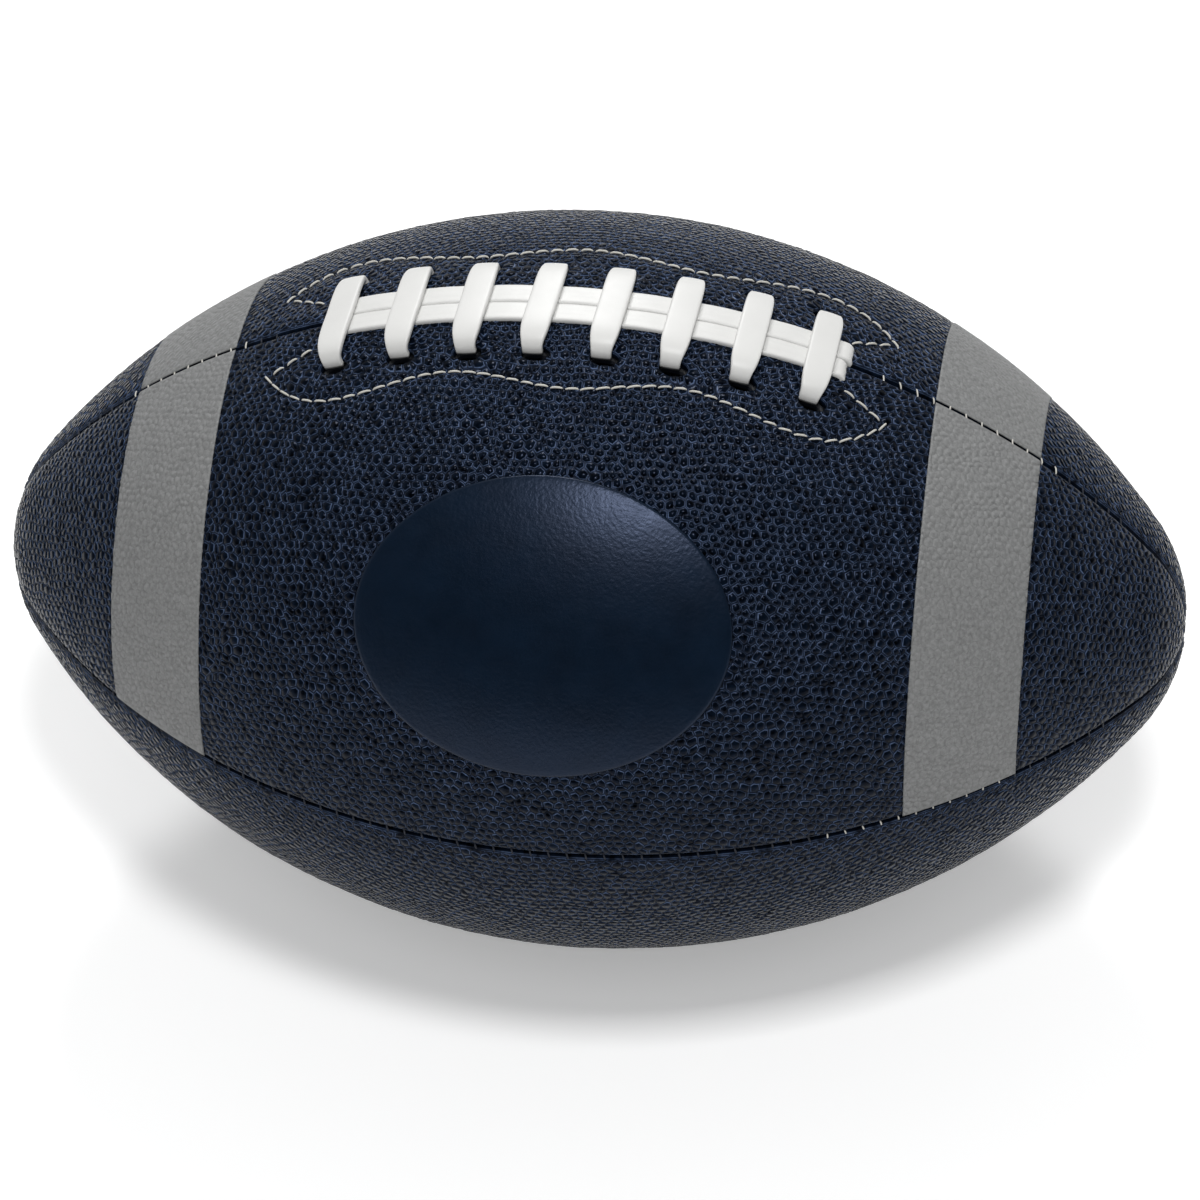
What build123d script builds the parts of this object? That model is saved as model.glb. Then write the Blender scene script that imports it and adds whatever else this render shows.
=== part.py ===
"""An american football: four sewn panels over a lined, laced and inflated body.

Units are millimetres. The origin is the centre of the ball, X runs along it from tip to tip, the laces
are on +Z, and the panel that carries the smooth patch faces -Y.
"""
import os
from math import asin, atan2, cos, radians, sin, sqrt

from build123d import *

# Envelope of the inflated ball
ball_length = 280.0
girth_diameter = 174.0
nose_radius = 38.6

# Layers of the wall, from the outside in
panel_thickness = 2.0
lining_thickness = 0.8
facing_thickness = 0.8
tongue_thickness = 0.7
bladder_wall = 0.9
layer_gap = 0.1

# Seams between the panels
seam_gap = 0.2
seam_groove_width = 2.4
seam_groove_depth = 0.8
seam_allowance = 7.0

# Printed stripes and the smooth patch
stripe_inner_x = 80.5
stripe_width = 24.0
stripe_film = 0.25
patch_length = 84.0
patch_height = 66.0
patch_angle = 52.0
patch_film = 0.3
film_gap = 0.05

# Lacing
cross_count = 8
cross_pitch = 15.5
eyelet_offset = 14.2
eyelet_length = 7.0
eyelet_width = 4.0
lace_width = 5.8
lace_thickness = 1.4
lace_self_gap = 0.45
lace_seat_gap = 0.05
strip_gap = 0.5
strip_overrun = 7.0
strip_bend = 1.4
cross_foot_bend = 1.6
cross_foot_lift = 1.6
cross_shoulder_bend = 8.0
notch_clearance = 0.6
run_clearance = 0.4

# Reinforcing facings under the lacing, their stitching, and the tongue
facing_wave_low = 19.2
facing_wave_high = 23.0
facing_tip_offset = 13.0
facing_tip_overrun = 16.0
facing_mouth_offset = 7.6
facing_mouth_overrun = 6.0
facing_margin = 3.0
facing_edge_clearance = 0.4
tongue_width = 36.0
tongue_overrun = 12.0

# Sewing thread
thread_width = 0.7
thread_height = 0.45
thread_seat_gap = 0.06
facing_stitch = 2.6
facing_stitch_pitch = 3.4
ladder_stitch = 3.4
ladder_pitch = 4.2
ladder_tip_margin = 16.0
ladder_lace_clearance = 6.0

# Inflation valve, in the middle of the lower back panel
valve_angle = 135.0
valve_stem_radius = 4.0
valve_foot_radius = 11.0
valve_foot_thickness = 1.6
valve_clearance = 0.1
valve_recess = 0.4
core_radius = 2.5
core_length = 11.0
needle_radius = 1.0
needle_lead_in = 0.5

# Outline of the skin: a belly arc that runs smoothly into a round nose at each tip
half_length = ball_length / 2
girth_radius = girth_diameter / 2
nose_centre = half_length - nose_radius
belly_radius = (nose_centre**2 + girth_radius**2 - nose_radius**2) / (2 * (girth_radius - nose_radius))
belly_drop = belly_radius - girth_radius
nose_turn = atan2(belly_drop, nose_centre)

# Places and depths that follow from the sizes above
lining_depth = panel_thickness + layer_gap
facing_depth = lining_depth + lining_thickness + layer_gap
panel_side = seam_gap / 2
pocket_side = panel_side + panel_thickness
stripe_side = ladder_stitch / 2 + layer_gap
strip_offset = (strip_gap + lace_width) / 2
strip_lift = lace_seat_gap + lace_thickness / 2
cross_lift = strip_lift + lace_thickness + lace_self_gap
lacing_half_length = cross_pitch * (cross_count - 1) / 2
strip_end_x = lacing_half_length + strip_overrun
slit_end_x = strip_end_x + lace_thickness / 2 + notch_clearance
eyelet_drop = girth_radius - sqrt(girth_radius**2 - eyelet_offset**2)
run_lean = asin((eyelet_offset + lace_width / 2) / girth_radius)
run_cover = facing_depth + facing_thickness + run_clearance
run_level = girth_radius - (girth_radius - run_cover) * cos(run_lean) + lace_thickness / 2
tongue_depth = max(seam_allowance, run_level + lace_thickness / 2 + run_clearance) + layer_gap
bladder_depth = tongue_depth + tongue_thickness + layer_gap
outside = girth_diameter
FRONT, BACK = -1, 1
UPPER, LOWER = 1, -1


def skin_radius(x):
    """Radius of the ball's round section at x."""
    if abs(x) < belly_radius * cos(nose_turn):
        return sqrt(belly_radius**2 - x**2) - belly_drop
    return sqrt(nose_radius**2 - (abs(x) - nose_centre) ** 2)


def skin_slope(x):
    """Rate at which the section's radius grows with x."""
    if abs(x) < belly_radius * cos(nose_turn):
        return -x / sqrt(belly_radius**2 - x**2)
    return (-1 if x > 0 else 1) * (abs(x) - nose_centre) / skin_radius(x)


def half_section(depth):
    """Half of the ball's long section, on the surface that lies a depth below the skin."""
    belly, nose = belly_radius - depth, nose_radius - depth
    joint = (belly * cos(nose_turn), belly * sin(nose_turn) - belly_drop)
    bulge = (nose_centre + nose * cos(nose_turn / 2), nose * sin(nose_turn / 2))
    tip = (half_length - depth, 0)
    with BuildSketch(Plane.XZ) as section:
        with BuildLine():
            ThreePointArc((-joint[0], joint[1]), (0, girth_radius - depth), joint)
            ThreePointArc(joint, bulge, tip)
            Line(tip, (-tip[0], 0))
            ThreePointArc((-tip[0], 0), (-bulge[0], bulge[1]), (-joint[0], joint[1]))
        make_face()
    return section.sketch


def layer(outer_depth, inner_depth):
    """Closed shell of the whole ball between two depths below the skin."""
    with BuildPart() as shell:
        revolve(half_section(outer_depth), axis=Axis.X)
        revolve(half_section(inner_depth), axis=Axis.X, mode=Mode.SUBTRACT)
    return shell.part


def quarter(start_x, end_x, side, hand, level):
    """Block round one quarter of the ball, its two inner sides a distance from the seams."""
    corner = (Align.MIN if hand == BACK else Align.MAX, Align.MIN if level == UPPER else Align.MAX)
    with BuildPart() as block:
        with BuildSketch(Plane.YZ.offset(start_x)):
            with Locations((hand * side, level * side)):
                Rectangle(outside, outside, align=corner)
        extrude(amount=end_x - start_x)
    return block.part


def skin_plane(x, angle, lift, along):
    """Plane on the skin at x and an angle from the laces, with its x direction along the given way."""
    radius, across, up = skin_radius(x), sin(angle), cos(angle)
    normal = Vector(-skin_slope(x), across, up).normalized()
    return Plane(Vector(x, radius * across, radius * up) + normal * lift, x_dir=along, z_dir=normal)


def crown_plane(x):
    """Plane on the lace seam, with its x direction along the seam and its normal out of the ball."""
    return skin_plane(x, 0.0, 0.0, Vector(1, 0, skin_slope(x)))


def cross_plane(x):
    """Plane square to the lace seam: its x direction is across the ball and its y direction out of it."""
    crown = crown_plane(x)
    return Plane(crown.origin, x_dir=(0, 1, 0), z_dir=crown.x_dir)


def radial_plane(degrees):
    """Plane through the ball's centre that faces out at an angle from the laces."""
    return Plane((0, 0, 0), x_dir=(1, 0, 0), z_dir=(0, sin(radians(degrees)), cos(radians(degrees))))


def facing_wave(margin, hand):
    """Wavy long edge of a facing in plan, from tip to tip, a margin outside its stitching."""
    tip = (lacing_half_length + facing_tip_overrun + margin, facing_tip_offset)
    high, low = facing_wave_high + margin, facing_wave_low + margin
    half = [tip, (lacing_half_length, high), (lacing_half_length / 2, low)]
    points = half + [(0, high)] + [(-x, y) for x, y in reversed(half)]
    return [(x, hand * y) for x, y in points]


def stitch_planes(line):
    """Planes of evenly spaced stitches that follow a plan line over the skin."""
    planes, count = [], round(line.length / facing_stitch_pitch)
    for i in range(count):
        place, along = line @ ((i + 0.5) / count), line % ((i + 0.5) / count)
        angle = asin(place.Y / skin_radius(place.X))
        normal = skin_plane(place.X, angle, 0.0, Vector(0, cos(angle), -sin(angle))).z_dir
        planes.append(skin_plane(place.X, angle, thread_seat_gap, along - normal * along.dot(normal)))
    return planes


def ladder_planes(start, end, angle):
    """Planes of the stitches that bridge a seam, evenly spaced along the skin from start to end."""
    planes, x = [], start
    while x < end:
        planes.append(skin_plane(x, angle, thread_seat_gap, Vector(0, cos(angle), -sin(angle))))
        x += ladder_pitch / sqrt(1 + skin_slope(x) ** 2)
    return planes


def thread(planes, length):
    """Row of short stitches of sewing thread, one on each plane."""
    with BuildPart() as row:
        for plane in planes:
            with BuildSketch(plane):
                SlotOverall(length, thread_width)
        extrude(amount=thread_height)
    return row.part


def save(part, name):
    """Label a finished piece and write it under its own name."""
    part.label = name
    export_step(part, f"parts/{name}.step")


os.makedirs("parts", exist_ok=True)
cross_stations = [cross_pitch * (i - (cross_count - 1) / 2) for i in range(cross_count)]

# Holes for the lace: an eyelet each side of every crossing and a notch at each end of the slit
with BuildPart() as lace_holes:
    for x in cross_stations:
        with BuildSketch(crown_plane(x)):
            with Locations((0, -eyelet_offset), (0, eyelet_offset)):
                SlotOverall(eyelet_length, eyelet_width)
    for x in (-strip_end_x, strip_end_x):
        with BuildSketch(crown_plane(x)):
            Rectangle(lace_thickness + 2 * notch_clearance, 2 * lace_width + strip_gap + 2 * notch_clearance)
    extrude(amount=bladder_depth, both=True)

# Room inside the slit, where the panel edges are not turned in
with BuildPart() as slit_relief:
    revolve(half_section(panel_thickness), axis=Axis.X)
    with BuildSketch(Plane.XY):
        Rectangle(2 * slit_end_x, 2 * (pocket_side + layer_gap))
    extrude(amount=outside, mode=Mode.INTERSECT)

# Groove along the four seams, where the panel edges roll inwards
with BuildPart() as seam_groove:
    add(layer(-film_gap, seam_groove_depth))
    with BuildSketch(Plane.YZ.offset(-half_length)):
        Rectangle(seam_groove_width, outside + seam_groove_width)
        Rectangle(outside + seam_groove_width, seam_groove_width)
    extrude(amount=ball_length, mode=Mode.INTERSECT)

# Round passage for the valve through cover, lining and bladder
valve_axis = radial_plane(valve_angle)
with BuildPart() as valve_passage:
    with BuildSketch(valve_axis):
        Circle(valve_stem_radius + valve_clearance)
    extrude(amount=outside)

# Cover panels with turned-in seam edges, each with the lining that is laid inside it
quarters = [("upper_front", FRONT, UPPER), ("upper_back", BACK, UPPER)]
quarters += [("lower_front", FRONT, LOWER), ("lower_back", BACK, LOWER)]
for place, hand, level in quarters:
    with BuildPart() as pocket:
        revolve(half_section(panel_thickness), axis=Axis.X)
        add(quarter(-half_length, half_length, pocket_side, hand, level), mode=Mode.INTERSECT)
    with BuildPart() as panel:
        add(layer(0.0, seam_allowance))
        add(quarter(-half_length, half_length, panel_side, hand, level), mode=Mode.INTERSECT)
        add(pocket.part, mode=Mode.SUBTRACT)
        add(seam_groove.part, mode=Mode.SUBTRACT)
        if level == UPPER:
            add(slit_relief.part, mode=Mode.SUBTRACT)
            add(lace_holes.part, mode=Mode.SUBTRACT)
        elif hand == BACK:
            add(valve_passage.part, mode=Mode.SUBTRACT)
    save(panel.part, f"panel_{place}")

    with BuildPart() as lining:
        add(layer(lining_depth, lining_depth + lining_thickness))
        add(quarter(-half_length, half_length, pocket_side + layer_gap, hand, level), mode=Mode.INTERSECT)
        if level == UPPER:
            add(lace_holes.part, mode=Mode.SUBTRACT)
        elif hand == BACK:
            add(valve_passage.part, mode=Mode.SUBTRACT)
    save(lining.part, f"lining_{place}")

# Reinforcing facings inside the lacing, one each side of the slit
for place, hand in (("front", FRONT), ("back", BACK)):
    wave = facing_wave(facing_margin, hand)
    edge = hand * (pocket_side + facing_edge_clearance)
    with BuildPart() as facing:
        with BuildSketch(Plane.XY):
            with BuildLine():
                Spline(*wave)
                Polyline(wave[-1], (wave[-1][0], edge), (wave[0][0], edge), wave[0])
            make_face()
        extrude(amount=outside)
        add(layer(facing_depth, facing_depth + facing_thickness), mode=Mode.INTERSECT)
        add(lace_holes.part, mode=Mode.SUBTRACT)
    save(facing.part, f"lace_facing_{place}")

# Tongue that keeps the lace off the bladder
with BuildPart() as tongue:
    with BuildSketch(Plane.XY):
        SlotOverall(2 * (strip_end_x + tongue_overrun), tongue_width)
    extrude(amount=outside)
    add(layer(tongue_depth, tongue_depth + tongue_thickness), mode=Mode.INTERSECT)
save(tongue.part, "lace_tongue")

# Bladder, one closed skin with a hole for the valve
with BuildPart() as bladder:
    add(layer(bladder_depth, bladder_depth + bladder_wall))
    add(valve_passage.part, mode=Mode.SUBTRACT)
save(bladder.part, "bladder")

# Valve: a stem with a wide foot inside the bladder, and a soft core that takes the needle
foot_depth = bladder_depth + bladder_wall + layer_gap
foot_top = girth_radius - foot_depth
foot_bottom = sqrt(foot_top**2 - valve_foot_radius**2) - valve_foot_thickness
stem_top = girth_radius - valve_recess
with BuildPart() as valve_housing:
    with BuildSketch(valve_axis.offset(foot_bottom)):
        Circle(valve_foot_radius)
    extrude(amount=foot_top - foot_bottom)
    revolve(half_section(foot_depth), axis=Axis.X, mode=Mode.INTERSECT)
    with BuildSketch(valve_axis.offset(foot_bottom)):
        Circle(valve_stem_radius)
    extrude(amount=stem_top - foot_bottom)
    with BuildSketch(valve_axis.offset(foot_bottom)):
        Circle(core_radius + valve_clearance)
    extrude(amount=outside, mode=Mode.SUBTRACT)
save(valve_housing.part, "valve_housing")

with BuildPart() as valve_core:
    with BuildSketch(valve_axis.offset(stem_top - core_length)):
        Circle(core_radius)
        Circle(needle_radius, mode=Mode.SUBTRACT)
    extrude(amount=core_length)
    rims = valve_core.edges().filter_by(GeomType.CIRCLE).group_by(Axis((0, 0, 0), valve_axis.z_dir))[-1]
    chamfer(rims.sort_by(SortBy.RADIUS)[0], needle_lead_in)
save(valve_core.part, "valve_core")

# Lace, one unbroken strap: over and under the seam at each crossing, then twice along it
strip_ends = [crown_plane(x) for x in (-strip_end_x, strip_end_x)]
strip_tops = [end.origin + end.z_dir * strip_lift for end in strip_ends]
strip_feet = [end.origin - end.z_dir * run_level for end in strip_ends]
shoulder = strip_gap / 2 + lace_width + lace_self_gap + lace_thickness
arch = [(eyelet_offset, -run_level), (eyelet_offset, cross_foot_lift - eyelet_drop), (shoulder, cross_lift)]
arch += [(-y, z) for y, z in reversed(arch)]
arch_bends = [cross_foot_bend, cross_shoulder_bend, cross_shoulder_bend, cross_foot_bend]
legs = [cross_plane(x) for x in cross_stations]
back_feet = [leg.from_local_coords((eyelet_offset, -run_level, 0)) for leg in legs]
front_feet = [leg.from_local_coords((-eyelet_offset, -run_level, 0)) for leg in legs]
half_turn = Vector(0, strip_offset, 0)
runs = list(zip(back_feet, front_feet[1:]))
runs += [(back_feet[-1], strip_feet[1] + half_turn), (strip_feet[0] - half_turn, strip_feet[0] + half_turn)]
with BuildPart() as lace:
    for leg in legs:
        with BuildSketch(leg):
            with BuildLine():
                FilletPolyline(*arch, radius=arch_bends)
            trace(line_width=lace_thickness)
    for hand in (FRONT, BACK):
        with BuildSketch(Plane.XZ.offset(-hand * strip_offset)):
            with BuildLine() as strip:
                Line((strip_feet[0].X, strip_feet[0].Z), (strip_tops[0].X, strip_tops[0].Z))
                crest = (0, girth_radius + strip_lift)
                ThreePointArc((strip_tops[0].X, strip_tops[0].Z), crest, (strip_tops[1].X, strip_tops[1].Z))
                Line((strip_tops[1].X, strip_tops[1].Z), (strip_feet[1].X, strip_feet[1].Z))
                fillet(strip.vertices().group_by(Axis.Y)[-1], strip_bend)
            trace(line_width=lace_thickness)
    extrude(amount=lace_width / 2, both=True)
    for start, end in runs:
        middle, way = (start + end) / 2, end - start
        up = crown_plane(middle.X).z_dir
        with BuildSketch(Plane(middle, x_dir=way, z_dir=up - way * (up.dot(way) / way.dot(way)))):
            SlotCenterToCenter(way.length, lace_width)
    extrude(amount=lace_thickness / 2, both=True)
save(lace.part, "lace")

# Stripes printed on the two panels beside the laces
stripe_outer_x = stripe_inner_x + stripe_width
stripe_spans = [("left", -stripe_outer_x, -stripe_inner_x), ("right", stripe_inner_x, stripe_outer_x)]
for end, start_x, end_x in stripe_spans:
    for place, hand in (("front", FRONT), ("back", BACK)):
        with BuildPart() as stripe:
            add(layer(-film_gap - stripe_film, -film_gap))
            add(quarter(start_x, end_x, stripe_side, hand, UPPER), mode=Mode.INTERSECT)
        save(stripe.part, f"stripe_{end}_{place}")

# Smooth oval patch in the middle of the upper front panel
with BuildPart() as patch:
    with BuildSketch(radial_plane(-patch_angle)):
        Ellipse(patch_length / 2, patch_height / 2)
    extrude(amount=outside)
    add(layer(-film_gap - patch_film, -film_gap), mode=Mode.INTERSECT)
save(patch.part, "smooth_patch")

# Stitching of the facings: along the wavy edge, and back to the lace at each end
for place, hand in (("front", FRONT), ("back", BACK)):
    wave = facing_wave(0.0, hand)
    mouth = (lacing_half_length + facing_mouth_overrun, hand * facing_mouth_offset)
    with BuildLine() as wave_line:
        Line(mouth, wave[0])
        Spline(*wave)
        Line(wave[-1], (-mouth[0], mouth[1]))
    save(thread(stitch_planes(wave_line.wires()[0]), facing_stitch), f"facing_thread_{place}")

# Stitches that close the seams
ladder_end_x = half_length - ladder_tip_margin
ladder_start_x = slit_end_x + ladder_lace_clearance
seams = [("top_left", -ladder_end_x, -ladder_start_x, 0), ("top_right", ladder_start_x, ladder_end_x, 0)]
for name, turn in (("front", -90), ("back", 90), ("bottom", 180)):
    seams.append((name, -ladder_end_x, ladder_end_x, turn))
for name, start, end, turn in seams:
    save(thread(ladder_planes(start, end, radians(turn)), ladder_stitch), f"seam_thread_{name}")

lace_clear = cross_lift - strip_lift - lace_thickness
print(f"lace clears itself by {lace_clear:.2f} mm at the crossings and {strip_gap:.2f} mm along the seam")
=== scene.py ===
"""Looks of an american football: pebbled cover, printed stripes, white lacing and stitching.

Sizes are in millimetres and angles in radians, unless a name says otherwise. X runs from tip to tip, the
laces are on +Z and the front faces -Y. A finished mesh is scaled to metres as it becomes a piece.
"""
import logging
import math
import random
from dataclasses import dataclass, field, replace
from enum import Enum
from functools import cached_property
from typing import Any, Callable

import bmesh
import bpy
from bmesh.types import BMEdge, BMesh, BMFace, BMVert
from mathutils import Euler, Matrix, Vector, geometry, kdtree, noise

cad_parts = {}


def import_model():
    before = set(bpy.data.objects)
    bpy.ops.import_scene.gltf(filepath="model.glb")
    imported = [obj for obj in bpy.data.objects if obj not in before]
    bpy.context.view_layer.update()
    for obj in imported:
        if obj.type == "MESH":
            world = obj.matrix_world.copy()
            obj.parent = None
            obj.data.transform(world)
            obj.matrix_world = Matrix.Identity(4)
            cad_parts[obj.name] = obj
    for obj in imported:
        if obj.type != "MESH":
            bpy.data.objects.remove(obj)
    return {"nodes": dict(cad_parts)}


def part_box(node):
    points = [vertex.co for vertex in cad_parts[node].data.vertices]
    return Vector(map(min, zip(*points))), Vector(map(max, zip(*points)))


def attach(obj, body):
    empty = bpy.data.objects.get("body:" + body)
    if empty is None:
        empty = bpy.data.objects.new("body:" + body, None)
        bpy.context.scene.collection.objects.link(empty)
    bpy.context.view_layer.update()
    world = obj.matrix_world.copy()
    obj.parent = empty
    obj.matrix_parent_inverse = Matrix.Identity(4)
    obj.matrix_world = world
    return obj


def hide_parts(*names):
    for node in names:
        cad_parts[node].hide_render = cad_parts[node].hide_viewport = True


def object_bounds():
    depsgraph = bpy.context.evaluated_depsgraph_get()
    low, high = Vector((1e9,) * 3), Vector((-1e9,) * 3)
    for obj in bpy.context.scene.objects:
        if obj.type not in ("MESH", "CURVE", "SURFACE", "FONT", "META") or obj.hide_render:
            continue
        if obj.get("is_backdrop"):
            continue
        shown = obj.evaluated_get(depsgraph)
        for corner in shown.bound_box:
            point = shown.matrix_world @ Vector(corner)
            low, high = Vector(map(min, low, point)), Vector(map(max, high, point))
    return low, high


MM = 0.001
# Each of the four panels reaches this far round the ball to both sides of its middle line
HALF_PANEL = math.pi / 4
log = logging.getLogger("football")


class Side(Enum):
    """Side of the ball, as the sign of its angle from the laces."""

    FRONT = -1
    BACK = 1


class Level(Enum):
    """Half of the ball that a panel belongs to, as the angle of its middle line in half panels."""

    UPPER = 1
    LOWER = 3


def linear(code: str) -> tuple[float, float, float, float]:
    """Turn an sRGB hex colour into linear values.

    Args:
        code: Colour as #rrggbb.

    Returns:
        Red, green, blue and an alpha of one.
    """
    parts = [int(code[i : i + 2], 16) / 255 for i in (1, 3, 5)]
    red, green, blue = (p / 12.92 if p <= 0.04045 else ((p + 0.055) / 1.055) ** 2.4 for p in parts)
    return red, green, blue, 1.0


def smooth_step(value: float, low: float, high: float) -> float:
    """Ease from 0, where a value is at low, to 1, where it is at high."""
    share = min(1.0, max(0.0, (value - low) / (high - low)))
    return share * share * (3 - 2 * share)


def add_node(
    tree: Any, kind: str, values: dict[str, Any] | None = None, links: dict[str | int, Any] | None = None
) -> Any:
    """Add a shader node with its settings and links.

    Args:
        tree: Node tree that gets the node.
        kind: Type name of the node.
        values: Properties or input sockets, by name, with their values.
        links: Output sockets to join, by the name or number of the input socket.

    Returns:
        The new node.
    """
    node = tree.nodes.new(kind)
    for name, value in (values or {}).items():
        if hasattr(node, name):
            setattr(node, name, value)
        else:
            node.inputs[name].default_value = value
    for name, output in (links or {}).items():
        tree.links.new(output, node.inputs[name])
    return node


def empty_tree(owner: bpy.types.Material | bpy.types.World) -> Any:
    """Node tree of a material or a world, with nothing in it."""
    owner.use_nodes = True
    owner.node_tree.nodes.clear()
    return owner.node_tree


def per_metre(size: float) -> float:
    """Texture scale at which a pattern repeats about once in a size."""
    return 1 / (size * MM)


@dataclass(frozen=True)
class Finish:
    """Finish of a surface: two tones, a cloudy pattern between them, gloss and a fine relief."""

    name: str
    slot: str
    tone: str
    second_tone: str
    cloud_size: float
    roughness: float
    grain_size: float
    grain_depth: float
    roughness_spread: float = 0.05
    specular: float = 0.3
    sheen: float = 0.0
    gloss_tint: str = "#ffffff"

    def material(self) -> bpy.types.Material:
        """Make the finish's material, or give back the one that was made before."""
        known = bpy.data.materials.get(self.name)
        if known:
            return known
        made = bpy.data.materials.new(self.name)
        tree = empty_tree(made)
        place = add_node(tree, "ShaderNodeTexCoord").outputs["Object"]
        shine = {"Specular IOR Level": self.specular, "Specular Tint": linear(self.gloss_tint)}
        shader = add_node(tree, "ShaderNodeBsdfPrincipled", {"Sheen Weight": self.sheen} | shine)
        self.colour(tree, place, shader)
        self.gloss(tree, place, shader)
        self.relief(tree, place, shader)
        add_node(tree, "ShaderNodeOutputMaterial", links={"Surface": shader.outputs["BSDF"]})
        return made

    def colour(self, tree: Any, place: Any, shader: Any) -> None:
        """Mix the two tones in soft clouds."""
        settings = {"Scale": per_metre(self.cloud_size), "Detail": 3.0}
        cloud = add_node(tree, "ShaderNodeTexNoise", settings, {"Vector": place})
        ramp = add_node(tree, "ShaderNodeValToRGB", links={"Fac": cloud.outputs["Fac"]})
        for stop, tone in zip(ramp.color_ramp.elements, (self.tone, self.second_tone)):
            stop.color = linear(tone)
        tree.links.new(ramp.outputs["Color"], shader.inputs["Base Color"])

    def gloss(self, tree: Any, place: Any, shader: Any) -> None:
        """Vary the roughness a little from spot to spot."""
        settings = {"Scale": per_metre(self.cloud_size / 3), "Detail": 2.0}
        spots = add_node(tree, "ShaderNodeTexNoise", settings, {"Vector": place})
        limits = {"To Min": self.roughness - self.roughness_spread}
        limits["To Max"] = self.roughness + self.roughness_spread
        spread = add_node(tree, "ShaderNodeMapRange", limits, {"Value": spots.outputs["Fac"]})
        tree.links.new(spread.outputs["Result"], shader.inputs["Roughness"])

    def relief(self, tree: Any, place: Any, shader: Any) -> None:
        """Raise a fine grain on the surface."""
        settings = {"Scale": per_metre(self.grain_size), "Detail": 2.0}
        grain = add_node(tree, "ShaderNodeTexNoise", settings, {"Vector": place})
        self.raise_by(tree, grain.outputs["Fac"], shader)

    def raise_by(self, tree: Any, height: Any, shader: Any) -> None:
        """Raise the surface by a pattern, as far as the grain is deep."""
        settings = {"Strength": 1.0, "Distance": self.grain_depth * MM}
        bump = add_node(tree, "ShaderNodeBump", settings, {"Height": height})
        tree.links.new(bump.outputs["Normal"], shader.inputs["Normal"])


@dataclass(frozen=True)
class PebbledFinish(Finish):
    """Embossed cover: the flanks of the pebbles get a pale painted sheen, and their tops are polished.

    The mesh's relief attribute is 0 in the valleys and 1 on the tops. The flank lists the heights at which
    the valley's tone ends, the painted sheen's tone is reached and the top's begins.
    """

    # Pale tone of the pebbles' flanks: a painted sheen
    painted_sheen_tone: str = "#ffffff"
    valley_roughness: float = 0.36
    unevenness: float = 0.5
    flank: tuple[float, float, float] = (0.4, 0.62, 0.84)
    speck_range: tuple[float, float] = (0.3, 0.7)

    def colour(self, tree: Any, place: Any, shader: Any) -> None:
        """Run from the valley's tone over the painted sheen of the flanks to that of the tops, with specks
        over all.
        """
        height = add_node(tree, "ShaderNodeAttribute", {"attribute_name": "relief"})
        ramp = add_node(tree, "ShaderNodeValToRGB", links={"Fac": height.outputs["Fac"]})
        for stop, tone in zip(ramp.color_ramp.elements, (self.tone, self.second_tone)):
            stop.color = linear(tone)
        # The pale middle stop is a painted sheen on the pebbles' flanks
        for share, tone in zip(self.flank, (self.tone, self.painted_sheen_tone, self.second_tone)):
            ramp.color_ramp.elements.new(share).color = linear(tone)
        settings = {"Scale": per_metre(self.cloud_size), "Detail": 2.0}
        cloud = add_node(tree, "ShaderNodeTexNoise", settings, {"Vector": place})
        limits = dict(zip(("From Min", "From Max"), self.speck_range))
        limits |= {"To Min": 1 - self.unevenness, "To Max": 1 + self.unevenness}
        specks = add_node(tree, "ShaderNodeMapRange", limits, {"Value": cloud.outputs["Fac"]})
        links = {0: ramp.outputs["Color"], "Scale": specks.outputs["Result"]}
        both = add_node(tree, "ShaderNodeVectorMath", {"operation": "SCALE"}, links)
        tree.links.new(both.outputs["Vector"], shader.inputs["Base Color"])

    def gloss(self, tree: Any, place: Any, shader: Any) -> None:
        """Polish the pebble tops."""
        height = add_node(tree, "ShaderNodeAttribute", {"attribute_name": "relief"})
        limits = {"To Min": self.valley_roughness, "To Max": self.roughness}
        polish = add_node(tree, "ShaderNodeMapRange", limits, {"Value": height.outputs["Fac"]})
        tree.links.new(polish.outputs["Result"], shader.inputs["Roughness"])


@dataclass(frozen=True)
class WovenFinish(Finish):
    """Woven cloth: two crossed sets of threads."""

    def relief(self, tree: Any, place: Any, shader: Any) -> None:
        """Raise warp and weft threads a grain size apart; bands of scale one lie pi / 10 apart."""
        threads = {}
        for socket, direction in enumerate(("X", "Y")):
            settings = {"wave_type": "BANDS", "bands_direction": direction, "Distortion": 0.4}
            settings["Scale"] = per_metre(self.grain_size) * math.pi / 10
            wave = add_node(tree, "ShaderNodeTexWave", settings, {"Vector": place})
            threads[socket] = wave.outputs["Fac"]
        weave = add_node(tree, "ShaderNodeMath", {"operation": "MAXIMUM"}, threads)
        self.raise_by(tree, weave.outputs["Value"], shader)


# Composite leather, embossed and dyed navy: shiny, almost black pebble tops in a thin, paler net of painted
# sheen
PEBBLED_LEATHER = PebbledFinish(
    name="navy_pebbled_composite_leather", slot="pebbled_leather", tone="#141b28", second_tone="#050b15",
    cloud_size=1.7, roughness=0.21, grain_size=0.35, grain_depth=0.015, specular=0.09,
    gloss_tint="#c3d4ff", painted_sheen_tone="#46546e", valley_roughness=0.34, unevenness=0.9,
)
# The same leather pressed smooth, with fine wrinkles and a soft satin gloss
SMOOTH_LEATHER = Finish(
    name="navy_smooth_composite_leather", slot="smooth_leather", tone="#050e19", second_tone="#0b1a2a",
    cloud_size=9.0, roughness=0.34, roughness_spread=0.06, grain_size=0.9, grain_depth=0.07,
    gloss_tint="#c3d4ff",
)
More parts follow.
